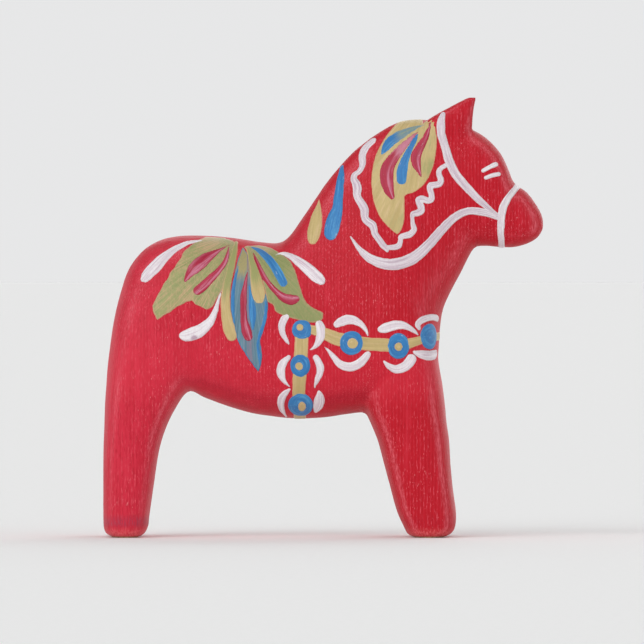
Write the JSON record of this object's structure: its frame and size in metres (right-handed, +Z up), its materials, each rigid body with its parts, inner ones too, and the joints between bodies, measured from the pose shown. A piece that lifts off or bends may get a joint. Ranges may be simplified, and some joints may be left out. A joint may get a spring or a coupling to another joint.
{
  "type": "dala horse",
  "caption": "Carved wooden horse figure on four straight legs, painted red with a bridle, mane leaf, saddle leaves and harness bands.",
  "frame": {"origin": "on the ground, under the middle of the horse's length and in its plane of symmetry", "axes": "+X forward to the nose, +Y to the horse's left, +Z up"},
  "size_m": [0.1304, 0.044, 0.13],
  "materials": {
    "pine": "bare carved pine, seen only at the soles",
    "red_paint": "warm red paint brushed upright over the carved wood, thinly varnished",
    "white_paint": "brushed white paint with pink and lilac showing in the strokes",
    "blue_paint": "brushed clear blue paint",
    "ochre_paint": "brushed yellow ochre paint, streaked",
    "olive_paint": "olive green paint blended with ochre",
    "crimson_paint": "crimson paint with pale pink streaks",
    "teal_paint": "grey teal paint"
  },
  "bodies": {
    "root": {"pine_body": "pine", "red_base_coat": "red_paint", "noseband": "white_paint", "mane_leaf": "ochre_paint", "girth_band": "ochre_paint", "breast_band": "ochre_paint", "right_cheek_strap": "white_paint", "left_cheek_strap": "white_paint", "right_rein": "white_paint", "left_rein": "white_paint", "right_eye_marks": "white_paint", "left_eye_marks": "white_paint", "right_mane_scallop": "white_paint", "left_mane_scallop": "white_paint", "right_mane_crimson_strokes": "crimson_paint", "left_mane_crimson_strokes": "crimson_paint", "right_mane_blue_strokes": "blue_paint", "left_mane_blue_strokes": "blue_paint", "right_neck_drop_blue": "blue_paint", "left_neck_drop_blue": "blue_paint", "right_neck_drop_ochre": "ochre_paint", "left_neck_drop_ochre": "ochre_paint", "right_saddle_white_commas": "white_paint", "left_saddle_white_commas": "white_paint", "right_saddle_crimson_strokes": "crimson_paint", "left_saddle_crimson_strokes": "crimson_paint", "right_saddle_blue_strokes": "blue_paint", "left_saddle_blue_strokes": "blue_paint", "right_saddle_ochre_strokes": "ochre_paint", "left_saddle_ochre_strokes": "ochre_paint", "right_saddle_teal_leaf": "teal_paint", "left_saddle_teal_leaf": "teal_paint", "right_saddle_green_leaves": "olive_paint", "left_saddle_green_leaves": "olive_paint", "right_girth_white_scrolls": "white_paint", "left_girth_white_scrolls": "white_paint", "right_breast_white_scrolls": "white_paint", "left_breast_white_scrolls": "white_paint", "right_girth_flower_centres": "ochre_paint", "left_girth_flower_centres": "ochre_paint", "right_breast_flower_centres": "ochre_paint", "left_breast_flower_centres": "ochre_paint", "right_girth_blue_flowers": "blue_paint", "left_girth_blue_flowers": "blue_paint", "right_breast_blue_flowers": "blue_paint", "left_breast_blue_flowers": "blue_paint"}
  },
  "joints": []
}
